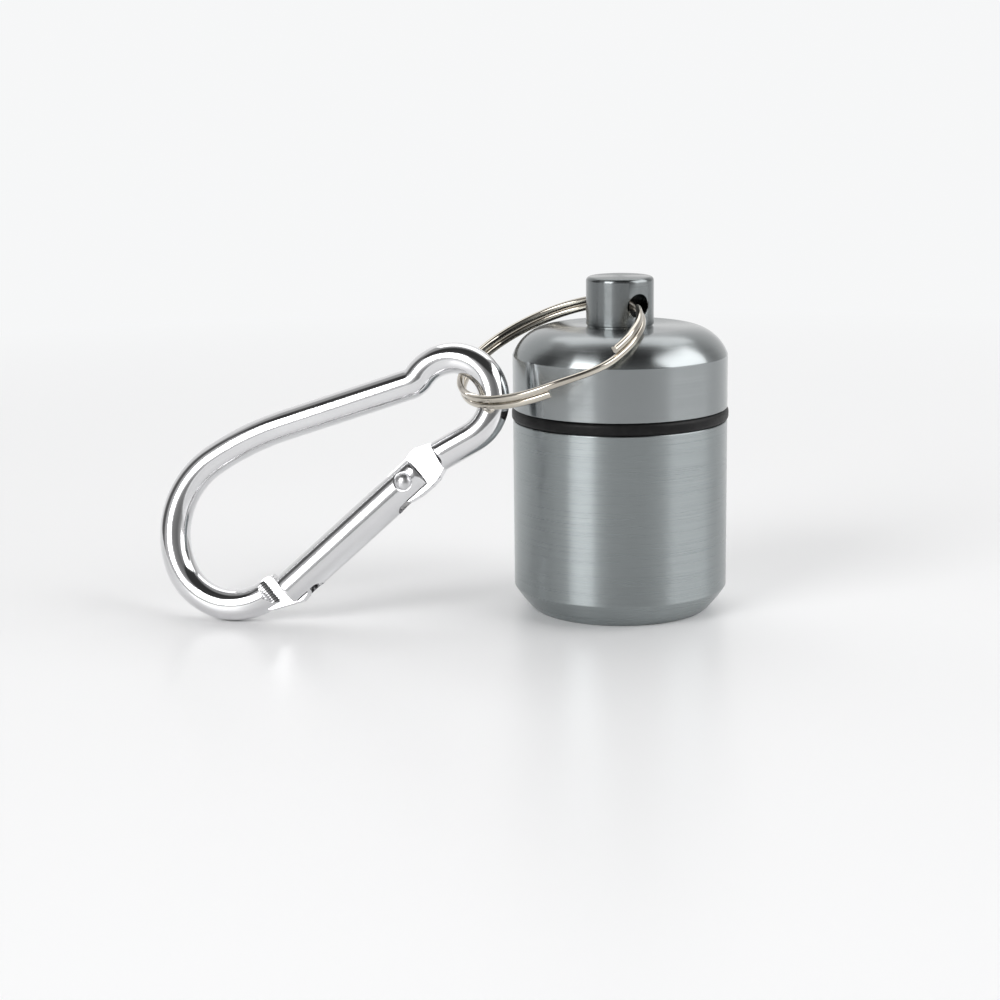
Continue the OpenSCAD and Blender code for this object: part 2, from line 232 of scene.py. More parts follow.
# Each line gives the darkest and the lightest tone, the roughness and the depth of the scratches
rod_metal = polished_metal("rod_metal", (0.75, 0.75, 0.76), (0.83, 0.83, 0.84), 0.10, 5e-7)
gate_metal = polished_metal("gate_metal", (0.75, 0.75, 0.76), (0.82, 0.82, 0.83), 0.13, 8e-7)
nickel = polished_metal("nickel", (0.49, 0.45, 0.39), (0.62, 0.58, 0.51), 0.06, 4e-7)
rivet_metal = polished_metal("rivet_metal", (0.62, 0.62, 0.63), (0.72, 0.72, 0.73), 0.30, 2e-6)
steel = polished_metal("steel", (0.48, 0.48, 0.48), (0.58, 0.57, 0.56), 0.28, 1e-6)
polished = (rod_metal, gate_metal, nickel, rivet_metal, steel)
print("polished metals:", ", ".join(metal.name for metal in polished))

# %% Rubber
def rubber(name):
    material, tree, shader = new_material(name)
    place = add(tree, "ShaderNodeTexCoord").outputs["Object"]
    grain = noise_on(tree, place, 3500, 3)
    dust = noise_on(tree, place, 700, 2)
    clean, dusty = (0.003, 0.003, 0.0033), (0.008, 0.008, 0.008)
    tone = between(tree, stretch(tree, dust, 0.45, 0.75, 0, 1), clean, dusty)
    join(tree, tone, shader.inputs["Base Color"])
    join(tree, stretch(tree, grain, 0.3, 0.7, 0.38, 0.52), shader.inputs["Roughness"])
    bump_from(tree, grain, shader, 6e-6)
    shader.inputs["Specular IOR Level"].default_value = 0.22
    return material


seal_rubber = rubber("seal_rubber")
print("rubber:", seal_rubber.name)

# %% [markdown]
# ## A finish for each solid
# Every solid gets the finish of its piece. The visible ones are replaced below by pieces with
# softer edges. The spring and the plunger are hidden in the gate, so their solids stay.

# %% Dress the solids
finish_of = {
    "case_body": case_metal,
    "cap": cap_metal,
    "o_ring": seal_rubber,
    "split_ring": nickel,
    "carabiner_body": rod_metal,
    "carabiner_gate": gate_metal,
    "gate_rivet": rivet_metal,
    "gate_spring": steel,
    "spring_plunger": steel,
}
for name, material in finish_of.items():
    nodes[name].data.materials.clear()
    nodes[name].data.materials.append(material)
print(len(finish_of), "solids have a finish")

# %% [markdown]
# ## How the turned pieces are made
# A lathe part could be built up from cylinders and cones, but one outline turned round the axis
# gives the whole part with even faces. The outline is drawn as a chain of corners on the plane
# y = 0. Its sharp corners are then rounded with a vertex bevel, as a maker breaks an edge, and the
# chain is spun round Z. The points on the axis are merged, which closes the poles.

# %% Helpers for turned pieces
def chain(shape, points, closed=False):
    verts = [shape.verts.new((x * MM, 0, z * MM)) for x, z in points]
    for a, b in zip(verts, verts[1:]):
        shape.edges.new((a, b))
    if closed:
        shape.edges.new((verts[-1], verts[0]))
    return verts


def arc(centre, radius, start, end, count):
    angles = [math.radians(start + (end - start) * i / count) for i in range(count + 1)]
    return [(centre[0] + radius * math.cos(a), centre[1] + radius * math.sin(a)) for a in angles]


def soften(shape, geom, width, segments=2, affect="EDGES", clamp=False):
    bmesh.ops.bevel(
        shape, geom=geom, offset=width * MM, offset_type="OFFSET", affect=affect,
        segments=segments, profile=0.5, material=-1, clamp_overlap=clamp,
    )


def round_corners(shape, verts, rounds):
    for index, width in rounds.items():
        soften(shape, [verts[index]], width, 4, "VERTICES")


def turn_round(shape, steps=192):
    bmesh.ops.spin(
        shape, geom=shape.verts[:] + shape.edges[:], cent=(0, 0, 0), axis=(0, 0, 1),
        angle=2 * math.pi, steps=steps, use_merge=True,
    )


def weld(shape):
    bmesh.ops.remove_doubles(shape, verts=shape.verts[:], dist=1e-7)
    bmesh.ops.dissolve_degenerate(shape, dist=1e-8, edges=shape.edges[:])
    bmesh.ops.recalc_face_normals(shape, faces=shape.faces[:])


print("helpers for turned pieces ready")

# %% [markdown]
# ## How a piece is finished
# A finished piece is smooth, apart from the edges that are sharper than 30 degrees. It gets
# weighted normals, so that large faces look flat beside small bevels. Then it rides on its body
# and stands in for its solid. Only the threads have no solid of their own.

# %% Finish a piece
sharp_from = 30


def finish_piece(shape, name, body, material, stands_for=()):
    weld(shape)
    mesh = bpy.data.meshes.new(name)
    shape.to_mesh(mesh)
    shape.free()
    finish_mesh(mesh, name, body, material, stands_for)


def finish_mesh(mesh, name, body, material, stands_for=()):
    mesh.shade_smooth()
    mesh.set_sharp_from_angle(angle=math.radians(sharp_from))
    mesh.materials.clear()
    mesh.materials.append(material)
    piece = bpy.data.objects.new(name, mesh)
    scene.collection.objects.link(piece)
    even = piece.modifiers.new("even shading", "WEIGHTED_NORMAL")
    even.keep_sharp = True
    even.weight = 100
    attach(piece, body)
    if stands_for:
        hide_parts(*stands_for)
    print(name, "has", len(mesh.polygons), "faces")


print("edges over", sharp_from, "degrees stay sharp")

# %% [markdown]
# ## The cup
# The cup stands on a flat base with a shallow rounded bevel round it. Inside are the pill chamber
# and, above it, the wider bore that takes the cap's thread. The outline runs up the outside, over
# the rim and down the inside, so the wall gets its real thickness in the same turn.

# %% Cup
case_r, foot_r, bore_r, chamber_r = 14, 11.5, 12.1, 11
rim_z, bore_z, floor_z = 25.1, 18.0, 2.5
shape = bmesh.new()
outline = [(0, 0), (foot_r, 0)]
# The bevel round the base is an arc, drawn from the foot up to the straight wall
outline += arc((0.274, 11.611), 16.151, -45.96, -31.8, 8)[1:]
crease = len(outline) - 1
outline += [
    (case_r, rim_z), (bore_r, rim_z), (bore_r, bore_z),
    (chamber_r, bore_z), (chamber_r, floor_z), (0, floor_z),
]
verts = chain(shape, outline)
round_corners(shape, verts, {
    1: 0.12, crease: 0.1, crease + 1: 0.16, crease + 2: 0.1, crease + 4: 0.1, crease + 5: 0.8,
})
turn_round(shape)
finish_piece(shape, "pill_cup", "case", case_metal, ["case_body"])

# %% [markdown]
# ## The cap and its knob
# Cap, neck and knob are one turned piece, hollow from below. The hole across the knob is bored
# after the turning, so it is cut from the finished shape, and its rim is broken with a small
# bevel. A narrow relief groove runs round the foot of the knob, where the photo shows a dark line.
# The cut is a boolean with a rod, because no outline can hold a hole that runs across the axis.

# %% Helpers for cutting
bevel_from = 35  # degrees between two faces, above which a cut edge is bevelled


def new_object(shape, name):
    mesh = bpy.data.meshes.new(name)
    shape.to_mesh(mesh)
    shape.free()
    thing = bpy.data.objects.new(name, mesh)
    scene.collection.objects.link(thing)
    return thing


def carve(base, steps, bevel=0):
    for how, tool in steps:
        cut = base.modifiers.new(how, "BOOLEAN")
        cut.operation = how
        cut.solver = "EXACT"
        cut.object = tool
    if bevel:
        soft = base.modifiers.new("edges", "BEVEL")
        soft.width = bevel * MM
        soft.segments = 2
        soft.limit_method = "ANGLE"
        soft.angle_limit = math.radians(bevel_from)
        soft.use_clamp_overlap = True
    bpy.context.view_layer.update()
    made = base.evaluated_get(bpy.context.evaluated_depsgraph_get())
    mesh = bpy.data.meshes.new_from_object(made)
    for thing in [base] + [tool for _, tool in steps]:
        bpy.data.objects.remove(thing)
    return mesh


print("a carved piece can have its edges bevelled from", bevel_from, "degrees")

# %% Round cutters and their places
def add_rod(shape, radius, length, segments):
    bmesh.ops.create_cone(
        shape, cap_ends=True, segments=segments,
        radius1=radius * MM, radius2=radius * MM, depth=length * MM,
    )


def rod_tool(radius, length, matrix, segments):
    shape = bmesh.new()
    add_rod(shape, radius, length, segments)
    bmesh.ops.transform(shape, matrix=matrix, verts=shape.verts[:])
    return new_object(shape, "tool")


def move(x, y, z):
    return Matrix.Translation((x * MM, y * MM, z * MM))


def spin_by(degrees, axis):
    return Matrix.Rotation(math.radians(degrees), 4, axis)


print("cutters are placed in millimetres")

# %% Cap
knob_r, top_z, hole_z, hole_r, hole_dir = 4.4, 43.7, 40.2, 1.5, 31.3
groove_r, groove_top, groove_foot = 4.24, 37.46, 37.3
shoulder_z, neck_r, neck_z, hollow_r, hollow_z = 26.7, 11.5, 18.2, 9, 33
at_hole = move(0, 0, hole_z) @ spin_by(hole_dir - 90, "Z")
shape = bmesh.new()
outline = [
    (0, top_z), (knob_r, top_z), (knob_r, 37.55), (groove_r, groove_top), (groove_r, groove_foot)
]
# A flat ring surrounds the knob, and the shoulder is an arc from there down to the flank
outline += arc((8.7, 31.654), 5.646, 90, 20.16, 18)
crease = len(outline) - 1
outline += [
    (case_r, shoulder_z), (neck_r, shoulder_z), (neck_r, neck_z),
    (hollow_r, neck_z), (hollow_r, hollow_z), (0, hollow_z),
]
verts = chain(shape, outline)
round_corners(shape, verts, {
    1: 0.55, 2: 0.05, 4: 0.05, crease: 0.1, crease + 1: 0.16,
    crease + 3: 0.25, crease + 4: 0.25, crease + 5: 0.6,
})
turn_round(shape)
weld(shape)
turned_cap = new_object(shape, "turned_cap")
drill = rod_tool(hole_r, 12, at_hole @ spin_by(90, "Y"), 72)
cap_mesh = carve(turned_cap, [("DIFFERENCE", drill)])
shape = bmesh.new()
shape.from_mesh(cap_mesh)


def on_rim(vert):
    off_axis = math.hypot(vert.co.x, vert.co.y)
    near = abs(vert.co.z - hole_z * MM) < (hole_r + 0.05) * MM
    return near and (knob_r - 0.4) * MM < off_axis < (knob_r + 0.05) * MM


rim = [
    e for e in shape.edges
    if len(e.link_faces) == 2 and e.calc_face_angle(0) > math.radians(40)
    and all(on_rim(v) for v in e.verts)
]
soften(shape, rim, 0.14)
print("rim edges of the cross hole:", len(rim))
finish_piece(shape, "screw_cap", "cap", cap_metal, ["cap"])

# %% [markdown]
# ## The threads
# A thread is its ridge spun round the axis while it rises by the pitch, 1 mm for each turn. A
# stack of rings would look alike from afar, but it wouldn't lead from one turn to the next. The
# cap's ridge stands out of the neck and the cup's ridge stands in from the bore, half a turn of
# rise apart, so they mesh without touching. Anticlockwise is upwards: a right-hand thread.

# %% Threads
def thread(name, body, material, root, crest, start_z, turns):
    shape = bmesh.new()
    foot, tip, per_turn = 0.4, 0.06, 64
    chain(shape, [
        (root, start_z - foot), (crest, start_z - tip),
        (crest, start_z + tip), (root, start_z + foot),
    ], closed=True)
    bmesh.ops.spin(
        shape, geom=shape.verts[:] + shape.edges[:], cent=(0, 0, 0), axis=(0, 0, 1),
        dvec=(0, 0, MM / per_turn), angle=2 * math.pi * turns, steps=int(per_turn * turns),
    )
    bmesh.ops.holes_fill(shape, edges=shape.edges[:], sides=0)
    finish_piece(shape, name, body, material)


thread(
    "cap_thread", "cap", cap_metal, root=11.46, crest=11.98, start_z=18.8, turns=5.5
)
thread(
    "cup_thread", "case", case_metal, root=12.14, crest=11.62, start_z=18.3,
    turns=5.75,
)

# %% [markdown]
# ## The rubber ring
# The rubber ring sits on the neck between cup and cap. Only its rounded outer edge shows. It
# stands 0.15 mm out of the metal. A torus would be round all over, but squeezed rubber is flat
# where it meets the metal, so its section is a rectangle with round corners.

# %% Rubber ring
shape = bmesh.new()
seal_in, seal_out = 11.6, 14.15
verts = chain(shape, [
    (seal_in, rim_z), (seal_out, rim_z), (seal_out, shoulder_z), (seal_in, shoulder_z),
], closed=True)
round_corners(shape, verts, {0: 0.3, 1: 0.5, 2: 0.5, 3: 0.3})
turn_round(shape)
finish_piece(shape, "rubber_ring", "seal", seal_rubber, ["o_ring"])

# %% [markdown]
# ## The split ring
# One flattened wire makes nearly two turns. It lies flat for most of each turn and crosses from
# the upper turn to the lower one over an eighth of a turn. Two closed rings would miss that
# crossing and the two cut ends. So the wire's section is swept with many small spins, and each
# one also moves the section down by as much as the wire drops there. The drawn wire is a little
# thinner than the solid, to clear the carabiner's eye as it swings.

# %% Split ring
wire_t, wire_w, turn_gap, shave = 0.86, 0.93, 0.05, 0.02
ring_inside, ring_lift = 23.84, 26.3
ring_r = ring_inside / 2 + wire_t / 2
# The wire bows inside the straight hole, so the ring is set back by half of that bow
ring_bow = ring_r - math.sqrt(ring_r ** 2 - knob_r ** 2)
ring_off = ring_r - ring_bow / 2
ring_end, ring_start, ring_cross, ring_sweep = 8, 1, 44, 674  # degrees
ring_steps = 337


def wire_height(degrees):
    t = min(1, max(0, (degrees - 360 + ring_cross) / ring_cross))
    return (wire_w + turn_gap) * (0.5 - t * t * (3 - 2 * t))


shape = bmesh.new()
half_t, half_w = wire_t / 2 - shave, wire_w / 2 - shave
start_z = wire_height(ring_start)
corners = chain(shape, [
    (ring_r - half_t, start_z - half_w), (ring_r + half_t, start_z - half_w),
    (ring_r + half_t, start_z + half_w), (ring_r - half_t, start_z + half_w),
], closed=True)
soften(shape, corners, 0.34, 6, "VERTICES")
bmesh.ops.rotate(
    shape, cent=(0, 0, 0), matrix=spin_by(ring_end + ring_start, "Z").to_3x3(), verts=shape.verts[:]
)
last = shape.verts[:] + shape.edges[:]
stride = ring_sweep / ring_steps
for i in range(ring_steps):
    now = ring_start + ring_sweep * i / ring_steps
    drop = wire_height(now + stride) - wire_height(now)
    last = bmesh.ops.spin(
        shape, geom=last, cent=(0, 0, 0), axis=(0, 0, 1), dvec=(0, 0, drop * MM),
        angle=math.radians(stride), steps=1,
    )["geom_last"]
bmesh.ops.holes_fill(shape, edges=shape.edges[:], sides=0)
print("the wire is", round(math.radians(ring_sweep) * ring_r, 1), "mm long")

# %% Hang the split ring in the hole
place_ring = at_hole @ spin_by(ring_lift, "X") @ move(0, -ring_off, 0)
bmesh.ops.transform(shape, matrix=place_ring, verts=shape.verts[:])
cut_ends = [e for f in shape.faces if len(f.verts) > 6 for e in f.edges]
soften(shape, cut_ends, 0.05)
finish_piece(shape, "key_ring", "ring", nickel, ["split_ring"])

# %% [markdown]
# ## The carabiner's rod
# The carabiner is one 4 mm rod, bent in a plane. A curve with a round bevel could draw it, but a
# sweep lets each bend have as many rings as its angle needs. The path is a list of straights and
# bends, as on a bending jig. The round section is extruded along each straight and spun round
# each bend. The sweep starts at the nose and ends at the hinge. The path is worked out in the
# carabiner's own plane, and one matrix hangs it on the split ring.

# %% Where the carabiner hangs
eye_r, rod_r, back_slope, gate_slope = 5.5, 2, 19.4, 44.2
# The plane of the carabiner leans back and is turned. The eye hangs on the wire with some slack.
lean, yaw, wire_reach, slack = 17, 14.5, 1.3, 0.1
# The place on the split ring's wire, and the way from there to the middle of the eye
hang_turn, hang_dir = math.radians(239), math.radians(236.9)
hang_drop = eye_r - rod_r - wire_reach - slack
gate_mid = (-12.32, -17.66)  # from the middle of the eye, in the plane of the rod
spot = Vector((ring_r * math.cos(hang_turn), ring_r * math.sin(hang_turn), 0)) * MM
hang_point = place_ring @ spot
at_eye = (
    Matrix.Translation(hang_point) @ spin_by(-yaw, "Z") @ spin_by(90 - lean, "X")
    @ move(hang_drop * math.cos(hang_dir), hang_drop * math.sin(hang_dir), 0)
)
at_gate = at_eye @ move(*gate_mid, 0) @ spin_by(180 + gate_slope, "Z")
print("the wire holds the eye at", tuple(round(c / MM, 2) for c in hang_point))

# %% The path of the rod
def bend_centre(x, y, heading, radius, turn):
    side = math.copysign(radius, turn)
    return x - side * math.sin(heading), y + side * math.cos(heading), side


def walk(x, y, heading, length, radius, turn):
    if radius == 0:
        return x + length * math.cos(heading), y + length * math.sin(heading), heading
    cx, cy, side = bend_centre(x, y, heading, radius, turn)
    heading += turn
    return cx + side * math.sin(heading), cy - side * math.cos(heading), heading


deg = math.radians
back_at, eye_sweep, back_len, neck_len, kink_r = 156.2, 214.7, 18.7, 5.0, 2.35
# A tight kink joins the eye to the straight back. Its centre lies kink_r beside the back, and
# kink_r + eye_r from the middle of the eye, which gives how far along the back it has to go.
kink = Vector((eye_r * math.cos(deg(back_at)), eye_r * math.sin(deg(back_at))))
along = Vector((math.cos(deg(back_slope)), math.sin(deg(back_slope))))
beside = Vector((-along.y, along.x))
to_centre = kink + kink_r * beside
b = to_centre.dot(along)
c = to_centre.length_squared - (kink_r + eye_r) ** 2
shift = -b - math.sqrt(b * b - c)
kink_centre = to_centre + shift * along
meet = math.atan2(kink_centre.y, kink_centre.x)
kink_turn = meet - deg(90) - deg(back_slope)
bends = [
    (0, 36.8, deg(16.5)),  # the slack bend of the back
    (0, 11.3, deg(80.3)),  # the big end
    (0, 8.4, deg(96.2)),  # the foot, which rests on the table
    (2.5, 0, 0),  # the straight before the nose
]
state = (*(kink - back_len * along), deg(180 + back_slope))
for step in bends:
    state = walk(*state, *step)
path = [(length, radius, -turn) for length, radius, turn in reversed(bends)]
path += [
    (back_len + shift, 0, 0), (0, kink_r, kink_turn),
    (0, eye_r, -(meet - deg(back_at - eye_sweep))), (neck_len, 0, 0),
]
print("the kink turns", round(math.degrees(kink_turn), 1), "degrees")
print("the nose is at", [round(v, 2) for v in state[:2]])

# %% Sweep the rod
def pull(shape, ring, dx, dy):
    edges = [g for g in ring if isinstance(g, bmesh.types.BMEdge)]
    grown = bmesh.ops.extrude_edge_only(shape, edges=edges)["geom"]
    tips = [g for g in grown if isinstance(g, bmesh.types.BMVert)]
    bmesh.ops.translate(shape, verts=tips, vec=(dx, dy, 0))
    touching = dict.fromkeys(e for v in tips for e in v.link_edges)
    return tips + [e for e in touching if all(v in tips for v in e.verts)]


part_len, bend_step = 0.4, 2.5  # millimetres of a straight, degrees of a bend
x, y, heading = state[0], state[1], state[2] + math.pi
shape = bmesh.new()
bmesh.ops.create_circle(shape, cap_ends=True, segments=40, radius=rod_r * MM)
bmesh.ops.transform(
    shape, verts=shape.verts[:],
    matrix=move(x, y, 0) @ Matrix.Rotation(heading, 4, "Z") @ spin_by(90, "Y"),
)
last = shape.verts[:] + shape.edges[:]
for length, radius, turn in path:
    if radius == 0:
        parts = max(1, round(length / part_len))
        stride = length / parts * MM
        for part in range(parts):
            last = pull(shape, last, stride * math.cos(heading), stride * math.sin(heading))
    else:
        cx, cy, side = bend_centre(x, y, heading, radius, turn)
        last = bmesh.ops.spin(
            shape, geom=last, cent=(cx * MM, cy * MM, 0), axis=(0, 0, 1), angle=turn,
            steps=max(6, int(abs(math.degrees(turn)) / bend_step)),
        )["geom_last"]
    x, y, heading = walk(x, y, heading, length, radius, turn)
bmesh.ops.holes_fill(shape, edges=[e for e in shape.edges if e.is_boundary], sides=0)
bmesh.ops.remove_doubles(shape, verts=shape.verts[:], dist=1e-7)
bmesh.ops.transform(shape, matrix=at_eye, verts=shape.verts[:])
bmesh.ops.recalc_face_normals(shape, faces=shape.faces[:])
rod = new_object(shape, "bent_rod")
print("hinge end of the rod at", round(x, 2), round(y, 2))

# %% [markdown]
# ## The two flats
# Both ends of the rod are milled down to a tongue 1.75 mm thick. The gate's hinge turns on one
# tongue, and the other is the nose that the gate closes on. Round cutters leave the hollows beside
# the tongues, and the cutter at the nose leaves its feed marks there. Each tongue is a flat
# outline, thickened and with its corners rounded. The rod is cut first and the tongues are joined
# to it after that, so that the cutters don't have to follow the tongues' outlines.

# %% Places along the gate
hinge_end, gate_len, gate_r, tongue_t = -11.85, 23.2, 2.35, 1.75
cutter_r, cut_in, feed = 2.2, 0.1, 0.34
nose_end = hinge_end + gate_len
rivet_x = hinge_end + 2.1
tail_x = rivet_x + 1.5
pin_hole_r = 0.65
print("the rivet is at", round(rivet_x, 2), "and the nose at", round(nose_end, 2))

# %% Tongue and round cutter
def tongue(name, points):
    shape = bmesh.new()
    low = -tongue_t / 2 * MM
    face = shape.faces.new([shape.verts.new((px * MM, py * MM, low)) for px, py in points])
    grown = bmesh.ops.extrude_face_region(shape, geom=[face])["geom"]
    top = [g for g in grown if isinstance(g, bmesh.types.BMVert)]
    bmesh.ops.translate(shape, verts=top, vec=(0, 0, tongue_t * MM))
    corners = [e for e in shape.edges if abs(e.verts[0].co.z - e.verts[1].co.z) > MM]
    soften(shape, corners, 0.35, 3, clamp=True)
    bmesh.ops.recalc_face_normals(shape, faces=shape.faces[:])
    bmesh.ops.transform(shape, matrix=at_gate, verts=shape.verts[:])
    return new_object(shape, name)


def ridged_tool(radius, length, pitch, ridge, matrix):
    shape = bmesh.new()
    count = int(length / pitch) * 2
    points = [(radius - ridge * (i % 2), -length / 2 + i * pitch / 2) for i in range(count + 1)]
    chain(shape, [(0, -length / 2)] + points + [(0, points[-1][1])])
    turn_round(shape, 72)
    weld(shape)
    bmesh.ops.transform(shape, matrix=matrix, verts=shape.verts[:])
    return new_object(shape, "tool")


print("each tongue is", tongue_t, "mm thick")

# %% Mill the two ends
hinge_tongue = tongue("hinge_tongue", [
    (hinge_end - 4.1, -1.35), (hinge_end - 2.9, -1.95), (hinge_end - 1.6, -2.5),
    (hinge_end - 0.7, -2.5), (hinge_end + 0.2, -2.2), (tail_x, -2.15), (tail_x, 2.15),
    (tail_x - 1.9, 2.55), (hinge_end - 0.2, 2.65), (hinge_end - 1.5, 2.5),
    (hinge_end - 3, 1.95), (hinge_end - 4.1, 1.9),
])
nose_tongue = tongue("nose_tongue", [
    (nose_end + 3.3, -2.9), (nose_end + 1.4, -3.2), (nose_end + 0.6, -3.05),
    (nose_end + 0.28, -2.6), (nose_end + 0.25, -1.35), (nose_end - 2.6, -1.35),
    (nose_end - 2.7, 1.5), (nose_end - 1.9, 2.25), (nose_end - 0.9, 2.4),
    (nose_end + 0.6, 1.7), (nose_end + 3.3, 0.4),
])
cut_at = tongue_t / 2 + cutter_r - cut_in
cutters = [
    ridged_tool(
        cutter_r, 9, feed, ridge, at_gate @ move(cut_x, 0, side * cut_at) @ spin_by(90, "X")
    )
    for cut_x, ridge in ((hinge_end - 1.6, 0.004), (nose_end + 0.7, 0.05)) for side in (-1, 1)
]
steps = [("DIFFERENCE", cutter) for cutter in cutters]
steps += [("UNION", hinge_tongue), ("UNION", nose_tongue)]
steps += [("DIFFERENCE", rod_tool(pin_hole_r, 6, at_gate @ move(rivet_x, 0, 0), 48))]
rod_mesh = carve(rod, steps, bevel=0.08)
finish_mesh(
    rod_mesh, "carabiner_rod", "carabiner", rod_metal, ["carabiner_body"]
)

# %% [markdown]
# ## The gate
# The gate is a short tube with a slot at each end. The hinge slot goes right through, so that the
# tongue can turn in it, and the nose slot is open outwards only, so that the gate stops there.
# A small flat on each cheek seats the rivet's head. As on the real gate, the bore and the slots
# are cut from a round bar. The bar is divided into short lengths first, so that the shading
# beside a cut stays near that cut.

# %% Block cutter and the places of the slots
def block_tool(low, high, matrix):
    shape = bmesh.new()
    bmesh.ops.create_cube(shape, size=1)
    size = [(b - a) * MM for a, b in zip(low, high)]
    middle = [(a + b) / 2 for a, b in zip(low, high)]
    bmesh.ops.scale(shape, vec=size, verts=shape.verts[:])
    bmesh.ops.transform(shape, matrix=matrix @ move(*middle), verts=shape.verts[:])
    return new_object(shape, "tool")


slot_w, slot_floor, tube_r, seat_r, seat_z = 2.4, -1.45, 1.7, 1.25, 2.4
half = slot_w / 2
slot_end, nose_slot = tail_x + 1.8, nose_end - 4.35
print("the slots reach", round(slot_end, 2), "and", round(nose_slot, 2))

# %% Gate
bore = at_gate @ move(hinge_end + 7, 0, 0) @ spin_by(90, "Y")
hinge_round = at_gate @ move(slot_end - half, 0, 0) @ spin_by(90, "X")
nose_round = at_gate @ move(nose_slot + half, 1.05, 0) @ spin_by(90, "X")
shape = bmesh.new()
add_rod(shape, gate_r, gate_len, 96)
end_edges = [e for e in shape.edges if abs(e.verts[0].co.z - e.verts[1].co.z) < 1e-7]
soften(shape, end_edges, 0.12)
side_edges = [e for e in shape.edges if abs(e.verts[0].co.z - e.verts[1].co.z) > 10 * MM]
bmesh.ops.subdivide_edges(shape, edges=side_edges, cuts=70, use_grid_fill=True)
along_gate = at_gate @ move((hinge_end + nose_end) / 2, 0, 0) @ spin_by(90, "Y")
bmesh.ops.transform(shape, matrix=along_gate, verts=shape.verts[:])
bar = new_object(shape, "gate_bar")
cutters = [
    rod_tool(tube_r, 16, bore, 64),
    block_tool((hinge_end - 1, -5, -half), (slot_end - half, 5, half), at_gate),
    rod_tool(half, 10, hinge_round, 48),
    block_tool((nose_slot + half, slot_floor, -half), (nose_end + 2, 5, half), at_gate),
    rod_tool(half, 5, nose_round, 48),
    rod_tool(seat_r, 1, at_gate @ move(rivet_x, 0, seat_z), 48),
    rod_tool(seat_r, 1, at_gate @ move(rivet_x, 0, -seat_z), 48),
]
steps = [("DIFFERENCE", cutter) for cutter in cutters]
gate_mesh = carve(bar, steps, bevel=0.07)
finish_mesh(gate_mesh, "snap_gate", "gate", gate_metal, ["carabiner_gate"])

# %% [markdown]
# ## The rivet
# The rivet is a pin with a low peened dome at each end. Each dome is an arc, worked out from the
# head's radius and height. The rivet is turned like the case, then carried to the hinge by the
# gate's matrix.

# %% Rivet
shape = bmesh.new()
head_r, dome_h, head_z, pin_r = 1.2, 0.65, 1.9, 0.6
dome_r = (head_r ** 2 + dome_h ** 2) / (2 * dome_h)
edge = math.degrees(math.asin(head_r / dome_r))
outline = arc((0, head_z + dome_h - dome_r), dome_r, 90, 90 - edge, 8)
outline += [(pin_r, head_z), (pin_r, -head_z)]
outline += arc((0, -head_z - dome_h + dome_r), dome_r, edge - 90, -90, 8)
verts = chain(shape, outline)
round_corners(shape, verts, {8: 0.08, 11: 0.08})
turn_round(shape, 48)
bmesh.ops.transform(shape, matrix=at_gate @ move(rivet_x, 0, 0), verts=shape.verts[:])
finish_piece(shape, "hinge_rivet", "gate", rivet_metal, ["gate_rivet"])

# %% [markdown]
# ## The table
# The object stands on a white table that runs on into the white room, so no edge shows behind it.
# Near the object the table is satin paint, which takes the shadow and a faint reflection. Far from
# it the paint gives way to plain white, which the camera and the metal both see.

# %% Table
plain_white = (0.925, 0.93, 0.935, 1)
floor_mesh = bpy.data.meshes.new("table_top")
shape = bmesh.new()
bmesh.ops.create_grid(shape, x_segments=1, y_segments=1, size=4)
shape.to_mesh(floor_mesh)
shape.free()
floor = bpy.data.objects.new("table_top", floor_mesh)
scene.collection.objects.link(floor)
floor_paint, tree, shader = new_material("table_paint")
shader.inputs["Base Color"].default_value = (0.93, 0.93, 0.935, 1)
shader.inputs["Roughness"].default_value = 0.32
shader.inputs["Specular IOR Level"].default_value = 0.35
place = add(tree, "ShaderNodeTexCoord").outputs["Object"]
far = add(tree, "ShaderNodeVectorMath", operation="LENGTH")
join(tree, place, far.inputs[0])
plain = add(tree, "ShaderNodeEmission")
plain.inputs["Color"].default_value = plain_white
blend_out = add(tree, "ShaderNodeMixShader")
join(tree, stretch(tree, far.outputs["Value"], 0.11, 0.32, 0, 1), blend_out.inputs["Fac"])
join(tree, shader.outputs["BSDF"], blend_out.inputs[1])
join(tree, plain.outputs["Emission"], blend_out.inputs[2])
join(tree, blend_out.outputs["Shader"], tree.nodes["Material Output"].inputs["Surface"])
floor_mesh.materials.append(floor_paint)
print("table ready")

# %% [markdown]
# ## The room
# The room is the world. Bright metal shows the room, so the room has parts: it is white behind
# the object, dark on the photographer's side and pale at both sides. A dark strip on the left
# draws the thin dark line along the polished rod. The camera itself sees plain white.

# %% Directions in the room
world = bpy.data.worlds.new("room")
scene.world = world
world.use_nodes = True
tree = world.node_tree
back = tree.nodes["Background"]
place = add(tree, "ShaderNodeTexCoord").outputs["Generated"]
split = add(tree, "ShaderNodeSeparateXYZ")
join(tree, place, split.inputs["Vector"])
turn = add(tree, "ShaderNodeMath", operation="ARCTAN2")
away = add(tree, "ShaderNodeMath", operation="MULTIPLY")
away.inputs[1].default_value = -1
join(tree, split.outputs["Y"], away.inputs[0])
join(tree, split.outputs["X"], turn.inputs[0])
join(tree, away.outputs["Value"], turn.inputs[1])
print("world:", world.name)

# %% Brightness of the room
def levels(tree, value, low, high, stops):
    ramp = add(tree, "ShaderNodeValToRGB")
    ramp.color_ramp.interpolation = "EASE"
    while len(ramp.color_ramp.elements) < len(stops):
        ramp.color_ramp.elements.new(0.5)
    for element, (mark, level) in zip(ramp.color_ramp.elements, stops):
        element.position = (mark - low) / (high - low)
        element.color = (level, level, level, 1)
    join(tree, value, ramp.inputs["Fac"])
    return ramp.outputs["Color"]


